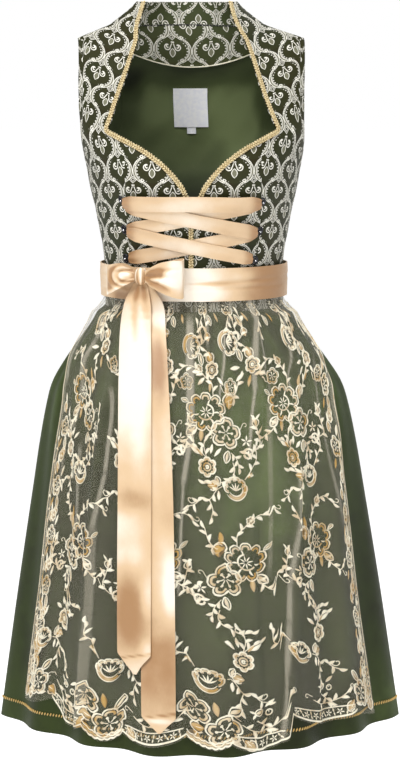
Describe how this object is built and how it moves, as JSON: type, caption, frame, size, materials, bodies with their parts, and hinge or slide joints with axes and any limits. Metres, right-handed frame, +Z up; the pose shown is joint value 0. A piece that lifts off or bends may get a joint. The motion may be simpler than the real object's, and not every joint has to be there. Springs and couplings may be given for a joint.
{
  "type": "laced dirndl dress with apron",
  "caption": "Sleeveless laced dress in its worn, hollow form, with a deep sweetheart neckline, a gathered skirt, a sheer scalloped apron and a satin sash tied in a bow.",
  "frame": {"origin": "on the centre line at the level of the shoulder seams, where the wearer's shoulders carry the dress", "axes": "+Z up, the front faces -Y, +X is the wearer's left"},
  "size_m": [0.54, 0.4054, 0.9562],
  "materials": {
    "jacquard": "woven olive and ivory pattern",
    "green_satin": "satin",
    "apron_tulle": "sheer, embroidered",
    "champagne_satin": "satin",
    "gimp": "looped braid",
    "pale_weave": "fine weave",
    "dark_metal": "dark burnished"
  },
  "bodies": {
    "root": {"bodice_front_side_left": "jacquard", "bodice_front_side_right": "jacquard", "bodice_front_centre_left": "jacquard", "bodice_front_centre_right": "jacquard", "bodice_back": "jacquard", "collar_back": "jacquard", "neck_facing": "jacquard", "back_lining": "green_satin", "skirt_front": "green_satin", "skirt_back": "green_satin", "apron": "apron_tulle", "lacing_rising_top": "champagne_satin", "lacing_rising_low": "champagne_satin", "lacing_falling_top": "champagne_satin", "lacing_falling_low": "champagne_satin", "lacing_bar": "champagne_satin", "waist_sash": "champagne_satin", "bow_loop_right": "champagne_satin", "bow_loop_left": "champagne_satin", "bow_knot": "champagne_satin", "bow_tail_front": "champagne_satin", "bow_tail_back": "champagne_satin", "neck_braid_left": "gimp", "neck_braid_right": "gimp", "facing_piping": "pale_weave", "woven_label": "pale_weave", "size_tab": "pale_weave", "hook_left_top": "dark_metal", "hook_left_middle": "dark_metal", "hook_left_low": "dark_metal", "hook_right_top": "dark_metal", "hook_right_middle": "dark_metal", "hook_right_low": "dark_metal"}
  },
  "joints": []
}
